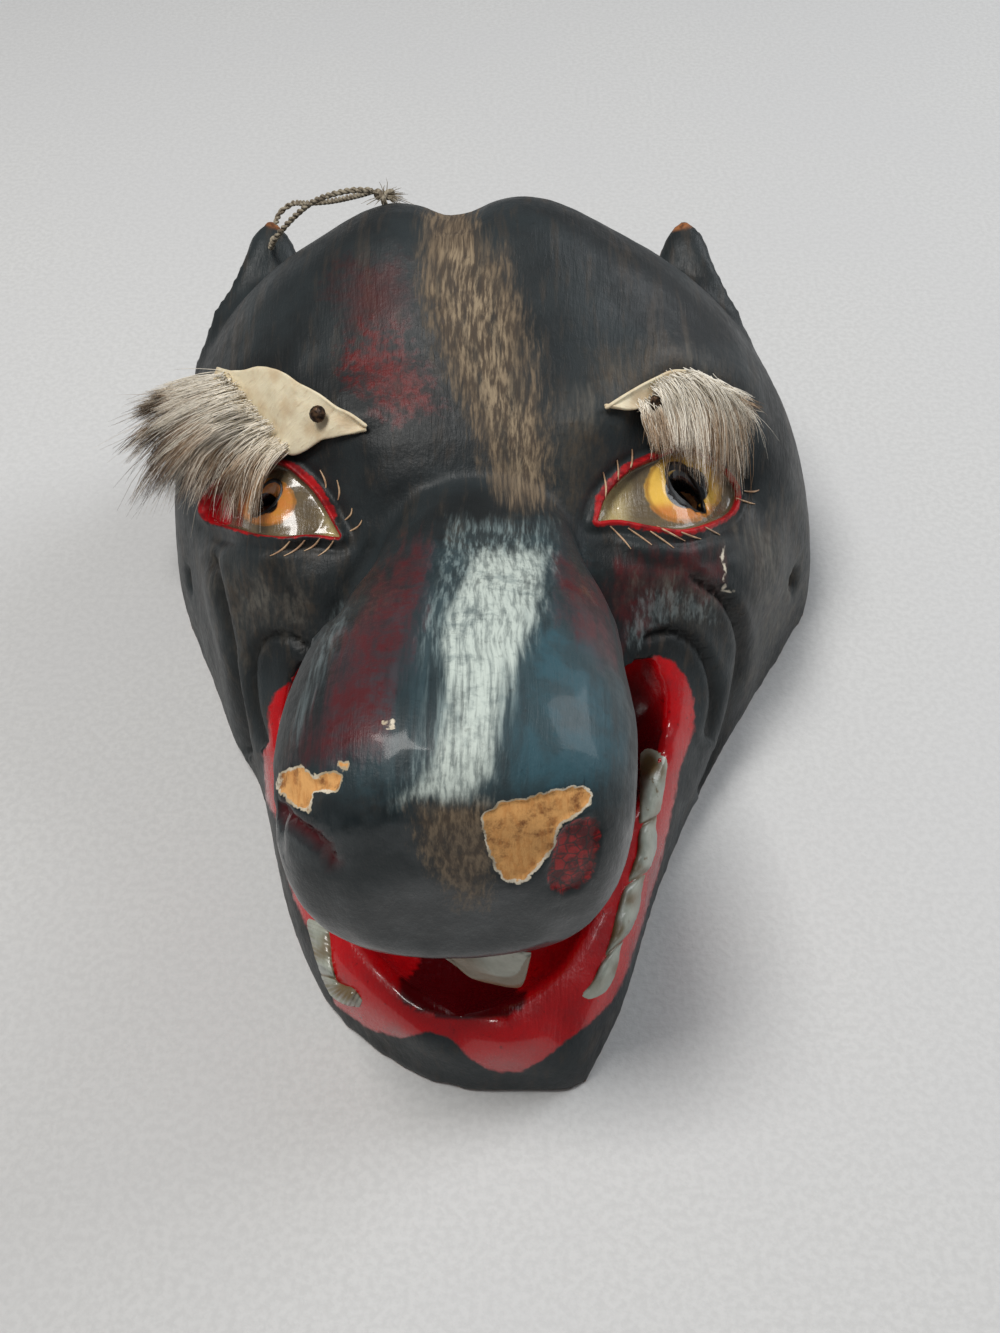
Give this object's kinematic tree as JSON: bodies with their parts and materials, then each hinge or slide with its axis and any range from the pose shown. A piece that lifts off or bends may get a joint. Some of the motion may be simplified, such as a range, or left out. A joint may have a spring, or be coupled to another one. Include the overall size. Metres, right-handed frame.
{
  "type": "carved wooden wolf mask",
  "caption": "Face mask carved from one block of wood as a wolf's head with a hollow back, an open red mouth, pierced eyes, hide eyebrows and a twine loop at one ear.",
  "frame": {"origin": "bottom centre of the box round the wood, the fur and the tacks; the mask rests there on its back rim", "axes": "+X to the right of someone who faces the mask, +Y from chin to crown, +Z out of the face"},
  "size_m": [0.2078, 0.268, 0.1284],
  "materials": {
    "painted_wood": "worn dark blue-grey, white and red paint under a glossy varnish",
    "hide_and_fur": "ivory hide with straight animal hair, dark at its tips",
    "tack_metal": "dark tarnished round head",
    "twine_fibre": "twisted natural fibre"
  },
  "bodies": {
    "root": {"carved_head": "painted_wood", "brow_left": "hide_and_fur", "brow_right": "hide_and_fur", "tack_left": "tack_metal", "tack_right": "tack_metal", "twine": "twine_fibre", "twine_knot": "twine_fibre"}
  },
  "joints": []
}
